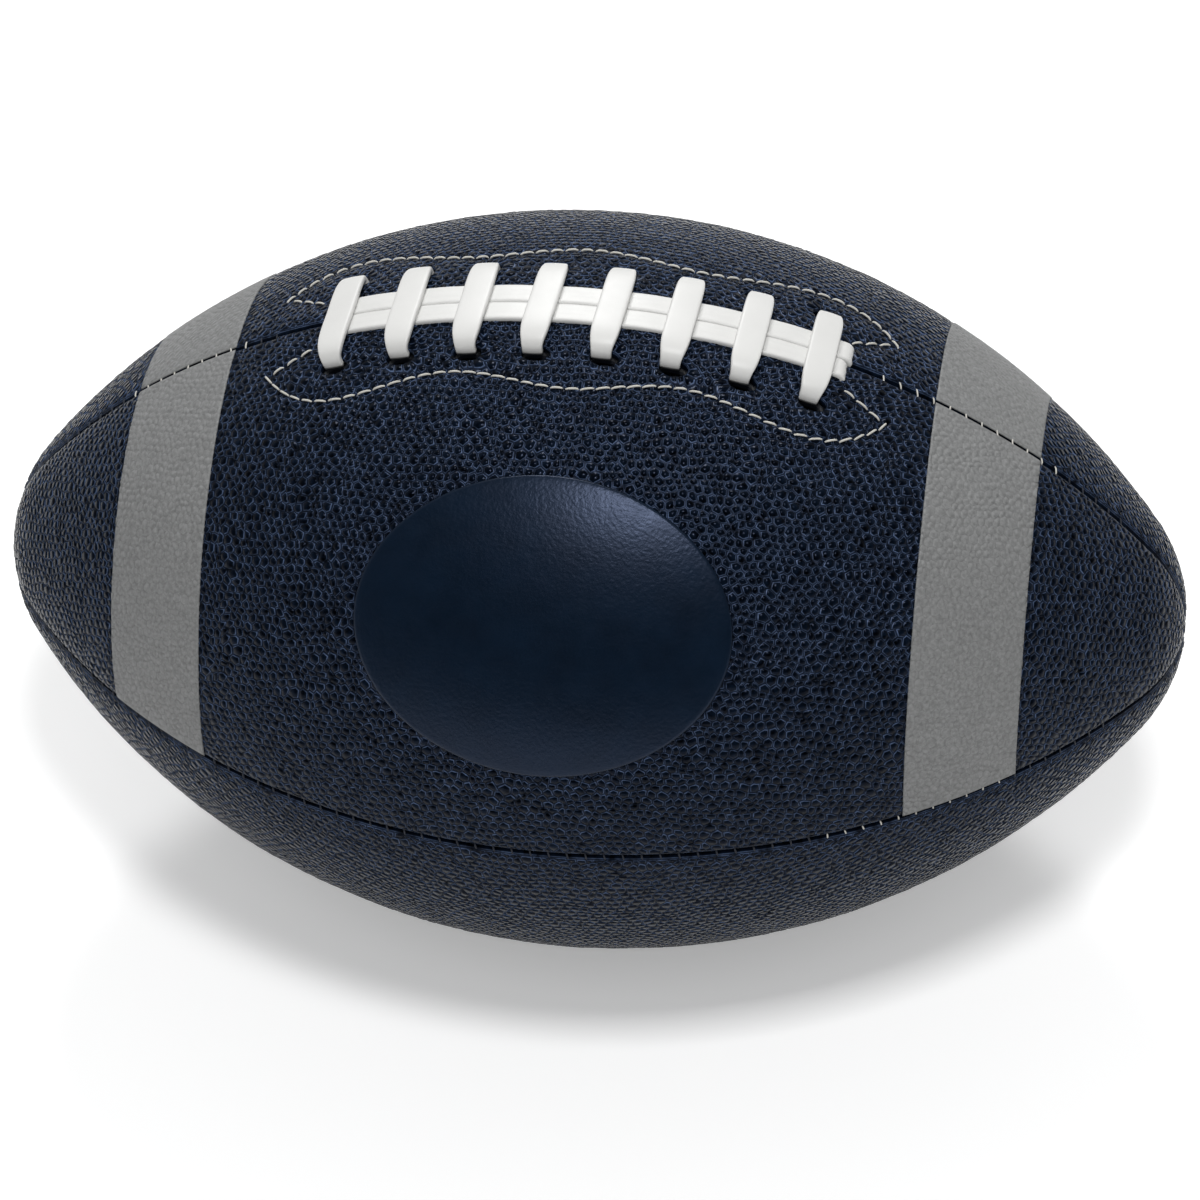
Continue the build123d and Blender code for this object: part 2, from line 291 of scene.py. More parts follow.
# Screen-printed grey ink: matt, with a slight speckle and a slightly paler painted sheen on the pebbles'
# flanks
STRIPE_PAINT = PebbledFinish(
    name="grey_screen_print_ink", slot="stripe_paint", tone="#797a7a", second_tone="#7c7d7d",
    cloud_size=0.8, roughness=0.5, grain_size=0.5, grain_depth=0.03,
    painted_sheen_tone="#868787", valley_roughness=0.6, unevenness=0.2,
)
# Extruded white vinyl: even and satin, close to white
LACE_VINYL = Finish(
    name="white_extruded_vinyl", slot="lace_vinyl", tone="#d2d2d0", second_tone="#dadad8",
    cloud_size=6.0, roughness=0.42, grain_size=0.5, grain_depth=0.012, specular=0.4,
)
# Bonded polyester thread, off white, with a fuzzy twist
SEWING_THREAD = Finish(
    name="off_white_polyester_thread", slot="sewing_thread", tone="#b3b1aa", second_tone="#d2d0c9",
    cloud_size=1.5, roughness=0.62, grain_size=0.25, grain_depth=0.03, sheen=0.2,
)
# Waxed polyester seam thread, painted navy in the colour of the cover as painted shade that hides it in the
# seam
SEAM_THREAD_IN_PAINTED_SHADE = Finish(
    name="navy_waxed_polyester_thread", slot="sewing_thread", tone="#0c111c", second_tone="#171d2a",
    cloud_size=1.5, roughness=0.5, grain_size=0.25, grain_depth=0.03,
)
# Cotton drill lining with a plain weave, painted dark grey as painted shade where it shows through the holes
LINING_CLOTH_PAINTED_SHADE = WovenFinish(
    name="grey_cotton_drill", slot="lining_cloth", tone="#24262b", second_tone="#32353b",
    cloud_size=7.0, roughness=0.85, grain_size=0.9, grain_depth=0.12, specular=0.2, sheen=0.3,
)
# Coated nylon webbing in dark navy
FACING_CLOTH = WovenFinish(
    name="navy_coated_nylon", slot="facing_cloth", tone="#0d111a", second_tone="#161c29",
    cloud_size=7.0, roughness=0.7, grain_size=0.7, grain_depth=0.08, sheen=0.1,
)
# Butyl rubber, dull black with a faint bloom
BLADDER_RUBBER = Finish(
    name="black_butyl_rubber", slot="bladder_rubber", tone="#161616", second_tone="#232323",
    cloud_size=12.0, roughness=0.62, roughness_spread=0.08, grain_size=0.6, grain_depth=0.02, specular=0.4,
)
# Moulded soft rubber of the valve, black and a little shinier
VALVE_RUBBER = Finish(
    name="black_moulded_rubber", slot="valve_rubber", tone="#0f1013", second_tone="#1b1c20",
    cloud_size=4.0, roughness=0.5, roughness_spread=0.06, grain_size=0.3, grain_depth=0.015, specular=0.45,
)


def show(name: str, bm: BMesh, material: bpy.types.Material) -> bpy.types.Object:
    """Put a finished bmesh into the scene.

    Args:
        name: Name of the object.
        bm: Mesh in metres, which is freed.
        material: Material of its surface.

    Returns:
        The new object.
    """
    mesh = bpy.data.meshes.new(name)
    bm.to_mesh(mesh)
    bm.free()
    mesh.materials.append(material)
    shown = bpy.data.objects.new(name, mesh)
    bpy.context.scene.collection.objects.link(shown)
    return shown


def make_piece(name: str, bm: BMesh, finish: Finish, node: str) -> None:
    """Turn a finished bmesh in millimetres into a piece of the ball.

    Args:
        name: Name of the piece.
        bm: Mesh, which is freed.
        finish: Finish of its surface.
        node: Node of the construction that the piece is shown in place of.
    """
    bmesh.ops.recalc_face_normals(bm, faces=bm.faces[:])
    bmesh.ops.scale(bm, vec=Vector((MM, MM, MM)), verts=bm.verts[:])
    for face in bm.faces:
        face.smooth = True
    piece = show(name, bm, finish.material())
    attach(piece, "root")
    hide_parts(node)
    log.info("%s: %d triangles", name, sum(len(face.vertices) - 2 for face in piece.data.polygons))


@dataclass(frozen=True)
class Skin:
    """Outline of the inflated ball: a belly arc that runs smoothly into a round nose at each tip."""

    half_length: float
    girth_radius: float
    nose_radius: float = 38.6

    @cached_property
    def nose_centre(self) -> float:
        """Distance of each nose's centre from the middle of the ball."""
        return self.half_length - self.nose_radius

    @cached_property
    def belly_radius(self) -> float:
        """Radius of the long arc."""
        spread = self.nose_centre**2 + self.girth_radius**2 - self.nose_radius**2
        return spread / (2 * (self.girth_radius - self.nose_radius))

    @cached_property
    def belly_drop(self) -> float:
        """Depth of the long arc's centre below the ball's axis."""
        return self.belly_radius - self.girth_radius

    @cached_property
    def turn(self) -> float:
        """Lean of the skin where belly and nose meet."""
        return math.atan2(self.nose_centre, self.belly_drop)

    @cached_property
    def belly_arc(self) -> float:
        """Arc from the middle of the ball to where belly and nose meet."""
        return self.belly_radius * self.turn

    @cached_property
    def reach(self) -> float:
        """Arc from the middle of the ball to a tip."""
        return self.belly_arc + self.nose_radius * (math.pi / 2 - self.turn)

    def station(self, arc: float) -> tuple[float, float, float]:
        """Find a station of the skin.

        Args:
            arc: Distance along the skin from the middle of the ball.

        Returns:
            Place along X, radius of the round section and lean of the skin's normal.
        """
        run = min(abs(arc), self.reach)
        if run <= self.belly_arc:
            lean = run / self.belly_radius
            x = self.belly_radius * math.sin(lean)
            radius = self.belly_radius * math.cos(lean) - self.belly_drop
        else:
            lean = self.turn + (run - self.belly_arc) / self.nose_radius
            x = self.nose_centre + self.nose_radius * math.sin(lean)
            radius = self.nose_radius * math.cos(lean)
        hand = math.copysign(1.0, arc)
        return hand * x, radius, hand * lean

    def arc_at(self, x: float) -> float:
        """Distance along the skin from the middle of the ball to a place along X."""
        run = abs(x)
        if run <= self.belly_radius * math.sin(self.turn):
            arc = self.belly_radius * math.asin(run / self.belly_radius)
        else:
            lean = math.asin(min(1.0, (run - self.nose_centre) / self.nose_radius))
            arc = self.belly_arc + self.nose_radius * (lean - self.turn)
        return math.copysign(arc, x)

    def arc_of_radius(self, radius: float) -> float:
        """Distance from the middle of the ball to where a nose has shrunk to a radius."""
        return self.belly_arc + self.nose_radius * (math.acos(radius / self.nose_radius) - self.turn)

    def point(self, arc: float, angle: float, lift: float = 0.0) -> Vector:
        """Place a point over the skin.

        Args:
            arc: Distance along the skin from the middle of the ball.
            angle: Angle round the ball from the laces, positive towards the back.
            lift: Height over the skin.

        Returns:
            The point.
        """
        x, radius, lean = self.station(arc)
        out = radius + lift * math.cos(lean)
        return Vector((x + lift * math.sin(lean), out * math.sin(angle), out * math.cos(angle)))

    def normal(self, arc: float, angle: float) -> Vector:
        """Direction straight out of the skin."""
        lean = self.station(arc)[2]
        return Vector((math.sin(lean), math.cos(lean) * math.sin(angle), math.cos(lean) * math.cos(angle)))

    def flatten(self, point: Vector) -> tuple[float, float]:
        """Arc and angle of a point that lies on or near the skin."""
        return self.arc_at(point.x), math.atan2(point.y, point.z)


@dataclass(frozen=True)
class Grain:
    """Pebbles of an embossed cover: their spacing, height, unevenness and shape.

    The size of the patches in which the height spreads is a share of half the field's width.
    """

    pitch: float = 2.04
    height: float = 0.55
    unevenness: float = 0.2
    drift: float = 1.5
    drift_size: float = 5.5
    height_spread: float = 0.25
    spread_size: float = 0.02
    roundness: float = 0.6
    stretch: float = 1.3
    top: float = 0.68
    snap: float = 0.22
    seam_share: float = 0.5
    seam_fade: float = 2.0


@dataclass(frozen=True)
class Lip:
    """Edge of a cover that rolls down into a seam, as steps of a share of its width and a lift."""

    width: float = 1.0
    steps: tuple[tuple[float, float], ...] = ((0.6, -0.06), (0.3, -0.26), (0.1, -0.7), (0.07, -1.4))


@dataclass(frozen=True)
class Hole:
    """Oval hole through a cover, with its half sizes along and across the ball.

    As shares of its size: the rim rolls in by one, corners within the catch are drawn to its edge, and those
    within the slack count as on it.
    """

    arc: float
    angle: float
    half_length: float
    half_width: float
    rim: float = 0.12
    catch: float = 2.2
    slack: float = 0.05


@dataclass(frozen=True)
class Film:
    """Oval or band that lies over a cover: its middle and half sizes along and across the ball."""

    arc: float
    angle: float
    half_length: float
    half_width: float
    is_band: bool = True

    def depth(self, arc: float, across: float) -> float:
        """How far a place lies inside the film's edge, or outside it where negative.

        Args:
            arc: Distance along the ball.
            across: Distance round the ball from the film's middle.

        Returns:
            The distance, by guess where the film is oval.
        """
        if self.is_band:
            return self.half_length - abs(arc - self.arc)
        size = math.hypot((arc - self.arc) / self.half_length, across / self.half_width)
        return (1 - size) * self.half_width


@dataclass
class Cover:
    """Sheet of embossed cover between two seams, modelled as a flat pattern and then wrapped on the skin.

    In the flat pattern X is the arc along the ball, Y runs from -1 to 1 across the embossed field and on to
    2 at the seam, and Z is the height over the valleys.
    """

    skin: Skin
    middle: float
    start: float
    end: float
    floor_lift: float
    thickness: float
    grain: Grain = field(default_factory=Grain)
    lip: Lip = field(default_factory=Lip)
    holes: list[Hole] = field(default_factory=list)
    films: list[Film] = field(default_factory=list)
    rolls_at_tips: bool = False
    seed: int = 1
    swell_height: float = 0.12
    swell_size: float = 22.0
    least_width: float = 0.3
    least_radius: float = 0.05

    def half_width(self, arc: float) -> float:
        """Half of the embossed field's width at an arc."""
        return max(self.least_width, HALF_PANEL * self.skin.station(arc)[1] - self.lip.width)

    @staticmethod
    def is_at_seam(flat: Vector) -> bool:
        """Tell whether a flat point lies on the embossed field's edge or past it."""
        return abs(flat.y) > 0.999

    def angle(self, arc: float, across: float) -> float:
        """Angle round the ball of a place in the flat pattern."""
        radius = max(self.least_radius, self.skin.station(arc)[1])
        share = abs(across)
        if share <= 1:
            turn = share * min(self.half_width(arc) / radius, HALF_PANEL)
        else:
            turn = max(0.0, HALF_PANEL - (2 - share) * self.lip.width / radius)
        return self.middle + math.copysign(turn, across)

    def across(self, arc: float, angle: float) -> float:
        """Place across the embossed field of an angle round the ball."""
        return (angle - self.middle) * self.skin.station(arc)[1] / self.half_width(arc)

    def cells(self) -> BMesh:
        """Lay out six-sided cells of uneven shape over the flat pattern, a pebble's pitch apart."""
        pitch, side, spare = self.grain.pitch, self.grain.pitch / math.sqrt(3), 3
        columns = 2 * math.ceil((self.end - self.start) / pitch + spare)
        widest = min(max(0.0, self.start), self.end)
        rows = math.ceil(2 * self.half_width(widest) / (1.5 * side)) + spare + 1
        bm = bmesh.new()
        bmesh.ops.create_grid(bm, x_segments=columns, y_segments=rows, size=1.0)
        spots = {v: (round((v.co.x + 1) / 2 * columns), round((v.co.y + 1) / 2 * rows)) for v in bm.verts}
        joins = []
        for edge in bm.edges:
            (i, j), (k, m) = spots[edge.verts[0]], spots[edge.verts[1]]
            if i == k and 0 < i < columns and (i - min(j, m)) % 2:
                joins.append(edge)
        noise.seed_set(self.seed)
        chance = random.Random(self.seed)
        spread = self.grain.unevenness * pitch
        for vert, (i, j) in spots.items():
            x = self.start + (i - spare) * pitch / 2
            y = (j - rows / 2) * 1.5 * side + (side / 4 if (i - j) % 2 == 0 else -side / 4)
            drift = noise.noise_vector(Vector((x, y, 10.0 * self.seed)) / self.grain.drift_size)
            x += self.grain.drift * drift.x + chance.uniform(-spread, spread)
            y += self.grain.drift * drift.y + chance.uniform(-spread, spread)
            vert.co = self.snap(x, y)
        bmesh.ops.dissolve_edges(bm, edges=joins, use_verts=False)
        return bm

    def snap(self, x: float, y: float) -> Vector:
        """Bring a cell's corner into the flat pattern, and onto the field's edge if it is close to it."""
        close = self.grain.pitch * self.grain.snap
        for limit in (self.start, self.end):
            if abs(x - limit) < close:
                x = limit
        width = self.half_width(min(max(x, self.start), self.end))
        if abs(abs(y) - width) < close:
            y = math.copysign(width, y)
        return Vector((x, y / width, 0.0))

    def trim(self, bm: BMesh) -> None:
        """Cut the cells off along the seams and at both ends."""
        cuts = [((self.start, 0, 0), (-1, 0, 0)), ((self.end, 0, 0), (1, 0, 0))]
        cuts += [((0, -1, 0), (0, -1, 0)), ((0, 1, 0), (0, 1, 0))]
        for place, outwards in cuts:
            everything = bm.verts[:] + bm.edges[:] + bm.faces[:]
            bmesh.ops.bisect_plane(
                bm, geom=everything, dist=1e-5, plane_co=place, plane_no=outwards, clear_outer=True
            )

    def offset_in(self, hole: Hole, flat: Vector) -> Vector:
        """Place of a flat point in a hole, where a length of one is the hole's edge."""
        radius = self.skin.station(hole.arc)[1]
        across = (self.angle(flat.x, flat.y) - hole.angle) * radius
        return Vector(((flat.x - hole.arc) / hole.half_length, across / hole.half_width))

    def onto_rim(self, hole: Hole, vert: BMVert, share: float = 1.0) -> None:
        """Move a corner straight in or out to a share of a hole's size."""
        offset = self.offset_in(hole, vert.co).normalized() * share
        vert.co.x = hole.arc + offset.x * hole.half_length
        angle = hole.angle + offset.y * hole.half_width / self.skin.station(hole.arc)[1]
        vert.co.y = self.across(vert.co.x, angle)

    def pierce(self, bm: BMesh, hole: Hole) -> None:
        """Open a hole in the flat pattern and bring the cells round it to its edge."""
        inside = [f for f in bm.faces if self.offset_in(hole, f.calc_center_median()).length < 1]
        rim = dict.fromkeys(e for f in inside for e in f.edges)
        bmesh.ops.delete(bm, geom=inside, context="FACES")
        bmesh.ops.bisect_edges(bm, edges=[e for e in rim if e.is_valid and e.is_boundary], cuts=2)
        for vert in dict.fromkeys(v for e in bm.edges if e.is_boundary for v in e.verts):
            if self.offset_in(hole, vert.co).length < hole.catch and not self.is_at_seam(vert.co):
                self.onto_rim(hole, vert)

    def hole_at(self, flat: Vector) -> Hole | None:
        """Hole whose edge a flat point lies on."""
        for hole in self.holes:
            if abs(self.offset_in(hole, flat).length - 1) < hole.slack:
                return hole
        return None

    def thicken(self, bm: BMesh) -> list[BMFace]:
        """Give the flat pattern its thickness, and roll its edges, which get the tone of the pebbles' tops
        and a painted pale line where the field meets them.

        Args:
            bm: Flat pattern.

        Returns:
            Faces of the outer side.
        """
        for vert in bm.verts:
            vert.co.z = -self.thickness
        made = bmesh.ops.extrude_face_region(bm, geom=bm.faces[:], use_keep_orig=True)["geom"]
        for vert in made:
            if isinstance(vert, BMVert):
                vert.co.z = 0.0
        outer = [g for g in made if isinstance(g, BMFace)]
        walls = [e for e in bm.edges if abs(e.verts[0].co.z - e.verts[1].co.z) > self.thickness / 2]
        count, height = len(self.lip.steps), bm.verts.layers.float["relief"]
        steps = bmesh.ops.subdivide_edges(bm, edges=walls, cuts=count)["geom_inner"]
        for vert in steps:
            if isinstance(vert, BMVert):
                row = round(-vert.co.z / self.thickness * (count + 1)) - 1
                self.roll(vert, *self.lip.steps[row])
                # From the field's edge to the lip the colour passes the painted sheen: a painted pale line
                # along seams and holes
                vert[height] = 1.0
        return outer

    def roll(self, vert: BMVert, share: float, lift: float) -> None:
        """Move a point of the edge to its step of the lip.

        Args:
            vert: Point of the edge.
            share: Share of the lip's width that is left up to the seam.
            lift: Height of the step.
        """
        hole = self.hole_at(vert.co)
        at_tip = self.rolls_at_tips and min(vert.co.x - self.start, self.end - vert.co.x) < 1e-3
        if hole:
            self.onto_rim(hole, vert, 1 - hole.rim * (1 - share))
            vert.co.z = lift
        elif at_tip:
            vert.co.x += (math.copysign(self.skin.reach, vert.co.x) - vert.co.x) * (1 - share)
            vert.co.y *= 2 - share
            vert.co.z = lift
        elif self.is_at_seam(vert.co):
            vert.co.y = math.copysign(2 - share, vert.co.y)
            vert.co.z = max(lift, -self.thickness)

    def pebble_share(self, arc: float, angle: float) -> float:
        """Share of the full pebble height at a place, which is less along the seams."""
        edge = (HALF_PANEL - abs(angle - self.middle)) * self.skin.station(arc)[1]
        rise = smooth_step(edge, self.lip.width, self.lip.width + self.grain.seam_fade)
        return self.grain.seam_share + (1 - self.grain.seam_share) * rise

    def emboss(self, bm: BMesh, faces: list[BMFace]) -> None:
        """Raise a pebble from each cell.

        Args:
            bm: Flat pattern.
            faces: Cells of its outer side.
        """
        height = bm.verts.layers.float["relief"]
        for face in bmesh.ops.extrude_discrete_faces(bm, faces=faces)["faces"]:
            centre = face.calc_center_median()
            rise = self.grain.height * self.pebble_share(centre.x, self.angle(centre.x, centre.y))
            wander = noise.noise(Vector((centre.x, centre.y / self.grain.spread_size, self.seed)))
            rise *= 1 + self.grain.height_spread * wander
            self.shrink(face, centre)
            for vert in face.verts:
                vert.co.z = rise
                vert[height] = 1.0

    def shrink(self, face: BMFace, centre: Vector) -> None:
        """Draw a cell in to the pebble's top, and make it rounder.

        Args:
            face: Cell of the flat pattern.
            centre: Its centre.
        """
        width = Vector((1.0, self.half_width(centre.x)))
        spokes = [(vert, (vert.co.xy - centre.xy) * width) for vert in face.verts]
        mean = sum(spoke.length for _, spoke in spokes) / len(spokes)
        for vert, spoke in spokes:
            grown = min(mean, self.grain.stretch * spoke.length)
            reach = spoke.length + (grown - spoke.length) * self.grain.roundness
            spoke = spoke.normalized() * (reach * self.grain.top)
            vert.co.xy = centre.xy + Vector((spoke.x / width.x, spoke.y / width.y))

    def swell(self, arc: float, angle: float) -> float:
        """Height of the broad forms of the cover at a place."""
        return self.swell_height * noise.noise(self.skin.point(arc, angle) / self.swell_size)

    def wrap(self, bm: BMesh) -> None:
        """Lay the flat pattern on the skin."""
        for vert in bm.verts:
            arc, across, lift = vert.co
            angle = self.angle(arc, across)
            vert.co = self.skin.point(arc, angle, self.floor_lift + lift + self.swell(arc, angle))

    def film_depth(self, arc: float, angle: float) -> float:
        """How far a place lies under the films on the cover, or outside them where negative."""
        radius = self.skin.station(arc)[1]
        return max((f.depth(arc, (angle - f.angle) * radius) for f in self.films), default=-self.skin.reach)

    def shows(self, face: BMFace) -> bool:
        """Tell whether a cell is embossed, as all are that no film hides."""
        centre = face.calc_center_median()
        return self.film_depth(centre.x, self.angle(centre.x, centre.y)) < self.grain.pitch / 2

    def build(self) -> BMesh:
        """Make the whole cover in millimetres."""
        bm = self.cells()
        self.trim(bm)
        for hole in self.holes:
            self.pierce(bm, hole)
        bm.verts.layers.float.new("relief")
        outer = self.thicken(bm)
        self.emboss(bm, [f for f in outer if f.is_valid and self.shows(f)])
        self.wrap(bm)
        return bm


@dataclass(frozen=True)
class Sewing:
    """Form of the stitches of a row.

    The crest is the height of a stitch's middle over the skin, and the dive the depth of its ends below it.
    The stretch is a share of the stitch's length in the construction, and the taper that of its radius which
    is lost at the ends. Lengths differ by the wobble from stitch to stitch, and slants by four times as much.
    """

    radius: float
    crest: float
    dive: float
    slant: float
    stretch: float
    wobble: float
    taper: float = 0.35


FACING_SEWING = Sewing(radius=0.26, crest=0.14, dive=0.4, slant=math.radians(5), stretch=1.2, wobble=0.08)
WHITE_SEWING = Sewing(radius=0.18, crest=0.04, dive=0.35, slant=math.radians(9), stretch=0.7, wobble=0.25)
SUNK_SEWING = Sewing(radius=0.2, crest=-0.15, dive=0.35, slant=math.radians(9), stretch=0.6, wobble=0.1)
# Where a seam gapes a little and shows its thread: start and end along the ball, and the stitches' stretch
GAPES = {
    "seam_thread_top_left": (-108.0, -78.0, 0.7),
    "seam_thread_top_right": (62.0, 110.0, 0.75),
    "seam_thread_front": (62.0, 104.0, 0.36),
}


@dataclass
class StitchLine:
    """Row of stitches of the construction: where each lies, which way it runs and how long it is."""

    node: bpy.types.Object
    skin: Skin
    places: list[tuple[Vector, Vector, float]] = field(default_factory=list)

    def __post_init__(self) -> None:
        """Read the stitches off the construction."""
        bm = bmesh.new()
        bm.from_mesh(self.node.data)
        bmesh.ops.remove_doubles(bm, verts=bm.verts[:], dist=1e-6)
        bmesh.ops.scale(bm, vec=Vector((1 / MM,) * 3), verts=bm.verts[:])
        left = set(bm.verts)
        for seed in bm.verts[:]:
            if seed in left:
                self.places.append(self.measure(self.linked(seed, left)))
        bm.free()

    @staticmethod
    def linked(seed: BMVert, left: set[BMVert]) -> list[Vector]:
        """Take all corners that hang together with a seed out of a set."""
        left.discard(seed)
        group, queue = [seed.co.copy()], [seed]
        while queue:
            for edge in queue.pop().link_edges:
                for vert in edge.verts:
                    if vert in left:
                        left.discard(vert)
                        group.append(vert.co.copy())
                        queue.append(vert)
        return group

    @staticmethod
    def measure(corners: list[Vector]) -> tuple[Vector, Vector, float]:
        """Middle, direction and length of one stitch."""
        low = Vector([min(c[i] for c in corners) for i in range(3)])
        high = Vector([max(c[i] for c in corners) for i in range(3)])
        middle = (low + high) / 2
        along = max((c - middle for c in corners), key=lambda c: c.length)
        for _ in range(8):
            along = sum(((c - middle) * (c - middle).dot(along) for c in corners), Vector()).normalized()
        reach = [(c - middle).dot(along) for c in corners]
        return middle, along, max(reach) - min(reach)

    def tree(self) -> kdtree.KDTree:
        """Search tree of three points along each stitch, on the skin."""
        tree = kdtree.KDTree(3 * len(self.places))
        for index, (middle, along, length) in enumerate(self.places):
            for step in (-1, 0, 1):
                spot = middle + along * (step * length * 0.4)
                tree.insert(self.skin.point(*self.skin.flatten(spot)), 3 * index + step + 1)
        tree.balance()
        return tree

    def build(self, sewing: Sewing, keep: Callable[[float], bool]) -> BMesh:
        """Make the stitches as rounded lengths of thread that dive into the cover at both ends.

        Args:
            sewing: Form of the stitches.
            keep: Test of a stitch's place along the ball, for those that are made.

        Returns:
            Mesh in millimetres.
        """
        bm = bmesh.new()
        chance = random.Random(len(self.places))
        for middle, along, length in self.places:
            if not keep(middle.x):
                continue
            normal = self.skin.normal(*self.skin.flatten(middle))
            along = (along - normal * along.dot(normal)).normalized()
            turn = sewing.slant * (1 + 4 * sewing.wobble * chance.uniform(-1, 1))
            along.rotate(Matrix.Rotation(turn, 3, normal))
            length *= 1 + sewing.wobble * chance.uniform(-1, 1)
            foot = self.skin.point(*self.skin.flatten(middle))
            frames = []
            for share in (-1.0, -0.85, -0.5, 0.0, 0.5, 0.85, 1.0):
                lift = sewing.crest - (sewing.crest + sewing.dive) * share**4
                centre = foot + along * (share * sewing.stretch * length / 2) + normal * lift
                radius = sewing.radius * (1 - sewing.taper * share**4)
                frames.append((centre, along.cross(normal) * radius, normal * radius))
            shape = section_layer(bm)
            ring = bmesh.ops.create_circle(bm, cap_ends=True, segments=8, radius=1.0)["verts"]
            for vert in ring:
                vert[shape] = vert.co
            sweep(bm, ring, frames)
        return bm


def section_layer(bm: BMesh) -> Any:
    """Layer of a mesh that holds each corner's place in the section that is swept."""
    layers = bm.verts.layers.float_vector
    return layers.get("section") or layers.new("section")


def extend(bm: BMesh, rim: list[BMEdge]) -> tuple[list[BMVert], list[BMEdge]]:
    """Extrude an open rim.

    Args:
        bm: Mesh that has the rim.
        rim: Edges of the rim.

    Returns:
        Corners and edges of the new rim.
    """
    made = bmesh.ops.extrude_edge_only(bm, edges=rim)["geom"]
    verts = [g for g in made if isinstance(g, BMVert)]
    corners = set(verts)
    return verts, [g for g in made if isinstance(g, BMEdge) and corners.issuperset(g.verts)]


def sweep(bm: BMesh, ring: list[BMVert], frames: list[tuple[Vector, Vector, Vector]]) -> None:
    """Sweep a closed ring through frames and close its far end.

    Args:
        bm: Mesh that holds the ring, with its places in the section layer.
        ring: Corners of the ring, with its start face.
        frames: Centre and the section's two axes, for each station.
    """
    shape = section_layer(bm)
    verts, edges = ring, [e for e in dict.fromkeys(e for v in ring for e in v.link_edges) if e.is_boundary]
    for index, (centre, across, up) in enumerate(frames):
        if index:
            verts, edges = extend(bm, edges)
        for vert in verts:
            vert.co = centre + across * vert[shape].x + up * vert[shape].y
    bmesh.ops.contextual_create(bm, geom=edges)


def directions(points: list[Vector]) -> list[Vector]:
    """Direction of a line at each of its points."""
    pairs = zip(points[:1] + points[:-1], points[1:] + points[-1:])
    return [(ahead - behind).normalized() for behind, ahead in pairs]


@dataclass
class Panel(Cover):
    """One of the four cover panels, with the eyelets, stitched facing and films that it carries."""

    facing_line: kdtree.KDTree | None = None
    facing_reach: float = 72.0
    facing_width: float = 34.0
    facing_middle: float = 21.1
    facing_wave: float = 1.9
    facing_period: float = 54.25
    facing_taper: float = 0.6
    facing_swell: float = 0.4
    facing_rise: tuple[float, float] = (0.4, 5.0)
    groove_width: float = 0.85
    groove_depth: float = 0.34
    groove_press: float = 0.6
    film_press: float = 0.3
    film_rim: tuple[float, float] = (-2.2, -0.6)
    dent_depth: float = 0.3
    dent_size: float = 1.9

    def stitching_distance(self, arc: float, angle: float) -> float:
        """Distance to the facing's stitching, which is endless far from it."""
        x, radius, _ = self.skin.station(arc)
        is_near = abs(x) < self.facing_reach + 4 and abs(angle) * radius < self.facing_width
        if self.facing_line and is_near:
            return self.facing_line.find(self.skin.point(arc, angle))[2]
        return math.inf

    def swell(self, arc: float, angle: float) -> float:
        """Broad forms: slow unevenness, the padded facing, the groove of its stitching and dented holes."""
        lift = super().swell(arc, angle)
        x, radius, _ = self.skin.station(arc)
        distance = self.stitching_distance(arc, angle)
        if distance < math.inf:
            lift -= self.groove_depth * math.exp(-((distance / self.groove_width) ** 2))
            edge = self.facing_middle + self.facing_wave * math.cos(2 * math.pi * x / self.facing_period)
            edge -= self.facing_taper * max(0.0, abs(x) - self.facing_period)
            if abs(math.sin(angle)) * radius < edge and abs(x) < self.facing_reach - 2:
                lift += self.facing_swell * smooth_step(distance, *self.facing_rise)
        for hole in self.holes:
            away = Vector((arc - hole.arc, (angle - hole.angle) * radius)).length
            inside = self.dent_size * hole.half_length - away
            lift -= self.dent_depth * smooth_step(inside, 0.0, hole.half_length)
        return lift

    def pebble_share(self, arc: float, angle: float) -> float:
        """Flatten the pebbles along the stitching and at the films' edges."""
        share = super().pebble_share(arc, angle)
        share *= 1 - self.film_press * smooth_step(self.film_depth(arc, angle), *self.film_rim)
        distance = self.stitching_distance(arc, angle)
        return share * (1 - self.groove_press * math.exp(-((distance / self.groove_width) ** 2)))


@dataclass
class SmoothPatch:
    """Plain oval of smooth leather on the upper front panel; its rim has steps of a size and a lift."""

    skin: Skin
    angle: float = math.radians(-52.0)
    half_length: float = 42.0
    half_height: float = 33.9
    lift: float = 0.36
    rim: tuple[tuple[float, float], ...] = ((1.012, -0.08), (1.02, -0.35))

    def build(self) -> BMesh:
        """Make the patch as a thin cushion with a rounded edge, in millimetres."""
        bm = bmesh.new()
        bmesh.ops.create_grid(bm, x_segments=64, y_segments=52, size=1.0)
        for vert in bm.verts:
            x, y, _ = vert.co
            vert.co.x = x * math.sqrt(1 - y * y / 2)
            vert.co.y = y * math.sqrt(1 - x * x / 2)
        edges = [e for e in bm.edges if e.is_boundary]
        for size, lift in self.rim:
            verts, edges = extend(bm, edges)
            for vert in verts:
                flat = vert.co.xy.normalized() * size
                vert.co = (flat.x, flat.y, lift)
        bmesh.ops.contextual_create(bm, geom=edges)
        for vert in bm.verts:
            x, y, drop = vert.co
            turn = y * self.half_height / self.skin.girth_radius
            vert.co = self.skin.point(x * self.half_length, self.angle + turn, self.lift + drop)
        return bm


